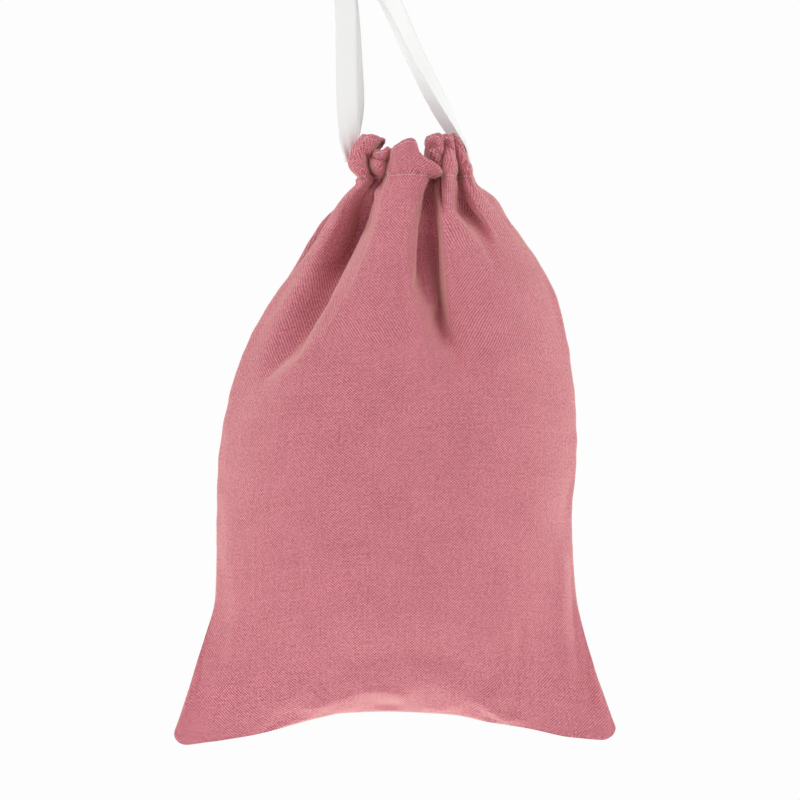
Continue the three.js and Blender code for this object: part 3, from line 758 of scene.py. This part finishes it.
def tube(verts, faces, path, radius, sides=6):
    """Adds a closed tube along a path to a list of points and faces."""
    start = len(verts)
    tangents = np.gradient(path, axis=0)
    tangents /= np.linalg.norm(tangents, axis=1, keepdims=True)
    for k, (point, tangent) in enumerate(zip(path, tangents)):
        across = np.cross(tangent, (0, 0, 1))
        across /= np.linalg.norm(across) + 1e-9
        up = np.cross(across, tangent)
        end = 0.55 if k in (0, len(path) - 1) else 1
        for a in np.arange(sides) * 2 * math.pi / sides:
            verts.append(point + radius * end * (across * math.cos(a) + up * math.sin(a)))
    for k in range(len(path) - 1):
        for a in range(sides):
            b = (a + 1) % sides
            low, high = start + k * sides, start + (k + 1) * sides
            faces.append((low + a, low + b, high + b, high + a))
    faces.append(tuple(start + a for a in range(sides))[::-1])
    faces.append(tuple(start + (len(path) - 1) * sides + a for a in range(sides)))


def stitch_row(name, side, up):
    count = round(cut_width / stitch_pitch)
    verts, faces = [], []
    for k in range(count):
        middle = (k + 0.5) / count
        half = stitch_length / stitch_pitch / count / 2
        shares = np.linspace(middle - half, middle + half, 7)
        surface = hem_outside(side, shares, [up - 0.04, up, up + 0.04])
        normal = outward(surface, side)[1]
        # The ends sink in by six tenths of the thread's radius, and the middle stands up by half of it
        rise = 1.1 * np.cos(np.linspace(-1, 1, 7) * math.pi / 2)[:, None] ** 0.5 - 0.6
        tube(verts, faces, surface[1] + normal * thread_radius * rise, thread_radius)
    mesh = bpy.data.meshes.new(name)
    mesh.from_pydata((np.array(verts) * mm).tolist(), [], faces)
    mesh.shade_smooth()
    mesh.materials.append(thread)
    row = bpy.data.objects.new(name, mesh)
    bpy.context.scene.collection.objects.link(row)
    return row


for side, word in ((-1, "front"), (1, "back")):
    for place, up in (("hem", foot_stitches), ("head", head_stitches)):
        row = stitch_row(f"{word}_{place}_stitches", side, up)
        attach(row, f"{word}_hem")
        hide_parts(f"{word}_{place}_stitching")


# Ribbons. Two lengths of white satin ribbon, 10 mm wide, run through the tunnel from opposite sides, so
# that pulling both closes the neck. Each comes out at its own end of the hem, and its two tails rise to
# the knot that the bag hangs by. They leave the tunnel crumpled and open out to their full width.
ribbon_width = 10
ribbon_thickness = 0.3


def white_satin():
    """Polyester satin, dyed white. Its long floating threads give broad, soft lights along the ribbon, and
    it stays just below the white behind it."""
    material = bpy.data.materials.new("white_satin")
    material.use_nodes = True
    bsdf = material.node_tree.nodes["Principled BSDF"]
    bsdf.inputs["Base Color"].default_value = colour("#f1f1f0")
    bsdf.inputs["Roughness"].default_value = 0.42
    bsdf.inputs["Sheen Weight"].default_value = 0.2
    return material


satin = white_satin()


def ribbon_strip(path, ways, widths, crumple, samples=90, across=9):
    """A flat strip along a path. At each of the path's points it has a direction that it faces, a width
    and how deeply it is crumpled along its length."""
    shares = np.linspace(0, 1, samples)
    centre = through(path, shares)
    table = through(np.c_[ways, widths, crumple], shares)
    tangent = np.gradient(centre, axis=0)
    tangent /= np.linalg.norm(tangent, axis=1, keepdims=True)
    width_way = np.cross(tangent, table[:, :3])
    width_way /= np.linalg.norm(width_way, axis=1, keepdims=True)
    face_way = np.cross(width_way, tangent)
    over = np.linspace(-1, 1, across)[None, :, None]
    along = run_length(centre)[:, None, None]
    fold = table[:, 4][:, None, None] * np.sin(over * 2.3 * math.pi + along * 0.11)
    crown = 0.25 * (1 - over**2)
    grid = (centre[:, None] + width_way[:, None] * over * table[:, 3][:, None, None] / 2
            + face_way[:, None] * (fold + crown))
    cut = np.concatenate(np.broadcast_arrays(over * ribbon_width / 2, along, 0 * over * along), axis=2)
    return grid, cut, centre


def ribbon_piece(name, strips):
    """One object of one or more flat strips, with the ribbon's own coordinates and its thickness."""
    points, cuts, quads = [], [], []
    for grid, cut, _ in strips:
        index = len(points) + np.arange(grid.shape[0] * grid.shape[1]).reshape(grid.shape[:2])
        quads += np.stack([index[:-1, :-1], index[:-1, 1:], index[1:, 1:], index[1:, :-1]],
                          axis=2).reshape(-1, 4).tolist()
        points += (grid.reshape(-1, 3) * mm).tolist()
        cuts += cut.reshape(-1, 3).tolist()
    mesh = bpy.data.meshes.new(name)
    mesh.from_pydata(points, [], quads)
    mesh.shade_smooth()
    mesh.materials.append(satin)
    attribute = mesh.attributes.new("cut", "FLOAT_VECTOR", "POINT")
    attribute.data.foreach_set("vector", np.array(cuts, np.float32).ravel())
    ribbon = bpy.data.objects.new(name, mesh)
    bpy.context.scene.collection.objects.link(ribbon)
    solid = ribbon.modifiers.new("ribbon thickness", "SOLIDIFY")
    solid.thickness = ribbon_thickness * mm
    solid.offset = 0
    return ribbon


def facing(*degrees):
    """Level directions, turned from the front by these angles."""
    return [(math.sin(math.radians(a)), -math.cos(math.radians(a)), 0) for a in degrees]


# Each tail: its route from inside the hem up to the knot, which way it faces there, its width and how
# deeply it is crumpled
tails = {
    "left_ribbon_front_tail": (
        [(-1.6, -2.2, -113.5), (-3.05, -4.6, -104.4), (-3.2, -5.3, -98), (-3.6, -4.8, -85),
         (-4.0, -3.6, -64), (-4.5, -2.5, -40), (-6.65, -2, -20), (-6.65, -2, -12.3)],
        facing(20, 14, 10, 6, 3, 0, 0, 0), [6.5, 8.6, 9.4, 10, 10, 10, 10, 7],
        [0.9, 0.5, 0.3, 0.1, 0, 0, 0, 0.6]),
    "left_ribbon_back_tail": (
        [(-0.8, 2.2, -113.5), (-2.6, 4.4, -104.4), (-1.8, 5.3, -98), (-0.6, 4.8, -85),
         (-1.6, 3.6, -64), (-3.4, 2.5, -40), (-6.65, 2, -20), (-6.65, 2, -12.3)],
        facing(-20, -16, -12, -8, -4, 0, 0, 0), [6.5, 8.6, 9.4, 10, 10, 10, 10, 7],
        [0.9, 0.5, 0.3, 0.1, 0, 0, 0, 0.6]),
    "right_ribbon_front_tail": (
        [(54.2, -1.4, -113.5), (52.6, -2.4, -106.5), (47.6, -3.4, -96.5), (38.8, -3.8, -80),
         (28.6, -2.9, -60.8), (17.6, -2.3, -38), (6.65, -2, -20), (6.65, -2, -12.3)],
        facing(88, 86, 76, 62, 50, 32, 8, 0), [6, 8, 9.6, 10, 10, 10, 10, 7],
        [0.8, 0.4, 0.1, 0, 0, 0, 0, 0.6]),
    "right_ribbon_back_tail": (
        [(53.8, 1.4, -113.5), (51.4, 2.6, -106.5), (44.8, 3.6, -96.5), (36.2, 4.2, -81),
         (27.0, 2.9, -60.8), (17.0, 2.3, -38), (6.65, 2, -20), (6.65, 2, -12.3)],
        facing(-86, -74, -58, -48, -34, -14, 0, 0), [6, 8, 9.6, 10, 10, 10, 10, 7],
        [0.8, 0.4, 0.1, 0, 0, 0, 0, 0.6]),
}

# The two tails of each ribbon are tied together in one overhand knot: two crumpled turns round the
# tails, and the cut ends standing up out of it
for hand, x in (("left", -6.65), ("right", 6.65)):
    middle = np.array((x, 0, -6.2))
    turn = np.radians(np.arange(0, 421, 30))
    strips = []
    for tilt, radius, lift, start in ((0.34, 4.1, -1.6, 0.4), (-0.42, 3.7, 1.5, 2.6)):
        way = np.c_[np.cos(turn + start), np.sin(turn + start) * 0.8, tilt * np.cos(turn + start)]
        path = middle + way * (radius + 0.05 * turn[:, None]) + (0, 0, lift)
        strips.append(ribbon_strip(path, way, np.full(len(turn), 6.0), np.full(len(turn), 0.45)))
    for side in (-1, 1):
        path = middle + np.array([(0, side * 1.2, 0), (side * 0.8, side * 1.4, 4),
                                  (side * 3.2, side * 1.8, 8.5), (side * 4.8, side * 2.8, 12.5)])
        strips.append(ribbon_strip(path, facing(20, 25, 40, 55), [5, 6.5, 8.5, 9.5],
                                   [0.8, 0.5, 0.2, 0.1], 30))
    knot = ribbon_piece(f"{hand}_knot", strips)
    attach(knot, "ribbon_tails")
    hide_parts(f"{hand}_ribbon_knot")

for name, (path, ways, widths, crumple) in tails.items():
    strip = ribbon_strip(path, ways, widths, crumple)
    tail = ribbon_piece(f"{name}_satin", [strip])
    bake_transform(tail)
    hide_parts(name)

# Inside the tunnel each ribbon is crumpled flat between the two layers of the hem, and where it comes
# round from the front to the back it lies in a short bend
half_run = 0.1                   # half the crumpled ribbon's height, as a share of the hem's
for side, word in ((-1, "front"), (1, "back")):
    for hand, up in (("left", 0.68), ("right", 0.36)):
        heights = np.linspace(up - half_run, up + half_run, 5)
        flat = hem_middle(side, np.linspace(0.015, 0.985, 320), heights).swapaxes(0, 1)
        over = np.broadcast_to(np.linspace(-ribbon_width / 2, ribbon_width / 2, 5), flat.shape[:2])
        along = np.broadcast_to(run_length(flat[:, 2])[:, None], flat.shape[:2])
        cut = np.stack([over, along, 0 * over], axis=2)
        run = ribbon_piece(f"{hand}_ribbon_{word}_run_satin", [(flat, cut, flat[:, 2])])
        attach(run, f"{word}_hem")
        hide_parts(f"{hand}_ribbon_{word}_run")
for hand in ("left", "right"):
    low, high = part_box(f"{hand}_ribbon_turn")
    middle = (low + high) / 2 / mm
    out = 1 if hand == "left" else -1
    path = [(middle.x - out * 1.5, -2.4, middle.z), (middle.x + out * 0.4, -1.3, middle.z),
            (middle.x + out * 0.8, 0, middle.z), (middle.x + out * 0.4, 1.3, middle.z),
            (middle.x - out * 1.5, 2.4, middle.z)]
    ways = [(out * 0.5, -1, 0), (out, -0.5, 0), (out, 0, 0), (out, 0.5, 0), (out * 0.5, 1, 0)]
    bend = ribbon_piece(f"{hand}_ribbon_bend", [ribbon_strip(path, ways, [5.5] * 5, [0.1] * 5, 24)])
    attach(bend, "bag")
    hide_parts(f"{hand}_ribbon_turn")


# Studio. A white surround lights the bag softly from every side. Large softboxes stand before it, high on
# the left and the right, two behind its sides light the rims, and two lie low under it. The camera, and
# what shines, see the surround as white.
world = bpy.data.worlds.new("studio")
bpy.context.scene.world = world
world.use_nodes = True
world.node_tree.nodes.clear()
tree = world.node_tree
ray = node(tree, "ShaderNodeLightPath").outputs
direct = ray["Is Camera Ray"]
for other in ("Is Glossy Ray", "Is Transmission Ray"):
    direct = node(tree, "ShaderNodeMath", {0: direct, 1: ray[other]}, operation="MAXIMUM").outputs[0]
surround = node(tree, "ShaderNodeBackground", inputs={"Color": (1, 1, 1, 1), "Strength": 0.38})
white = node(tree, "ShaderNodeBackground", inputs={"Color": colour("#fdfdfd"), "Strength": 1.0})
shown = node(tree, "ShaderNodeMixShader", {0: direct, 1: surround.outputs[0], 2: white.outputs[0]})
node(tree, "ShaderNodeOutputWorld", {"Surface": shown.outputs[0]})


def softbox(name, place, size, power):
    light = bpy.data.lights.new(name, "AREA")
    light.shape = "RECTANGLE"
    light.size, light.size_y = size
    light.energy = power
    lamp = bpy.data.objects.new(name, light)
    lamp.location = place
    lamp.rotation_euler = (frame_centre - Vector(place)).to_track_quat("-Z", "Y").to_euler()
    bpy.context.scene.collection.objects.link(lamp)


floor_half = 1.5
floor_drop = 0.75                # the bag hangs clear of the floor, which lies below the photograph
floor_mesh = bpy.data.meshes.new("floor")
floor_mesh.from_pydata([(-floor_half, -floor_half, 0), (floor_half, -floor_half, 0),
                        (floor_half, floor_half, 0), (-floor_half, floor_half, 0)], [], [(0, 1, 2, 3)])
floor = bpy.data.objects.new("floor", floor_mesh)
floor.location = (frame_centre.x, 0, -floor_drop)
bpy.context.scene.collection.objects.link(floor)
floor_paint = bpy.data.materials.new("white_floor")
floor_paint.use_nodes = True
floor_bsdf = floor_paint.node_tree.nodes["Principled BSDF"]
floor_bsdf.inputs["Base Color"].default_value = colour("#f4f4f4")
floor_bsdf.inputs["Roughness"].default_value = 0.9
floor_mesh.materials.append(floor_paint)
floor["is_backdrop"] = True

# Place and size in metres, power in watts
softbox("left_softbox", (-0.9, -0.5, 0.7), (0.9, 0.9), 9)
softbox("right_softbox", (0.95, -0.5, 0.7), (0.9, 0.9), 8.5)
softbox("left_rim_softbox", (-1.2, 0.45, -0.3), (1.0, 1.2), 5)
softbox("right_rim_softbox", (1.25, 0.45, -0.3), (1.0, 1.2), 7)
softbox("low_softbox", (0.0, -0.35, -0.72), (0.9, 0.6), 2.7)
softbox("low_rim_softbox", (0.0, 0.2, -0.72), (0.9, 0.5), 2.5)
bpy.context.scene.view_settings.view_transform = "Standard"

low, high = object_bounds()
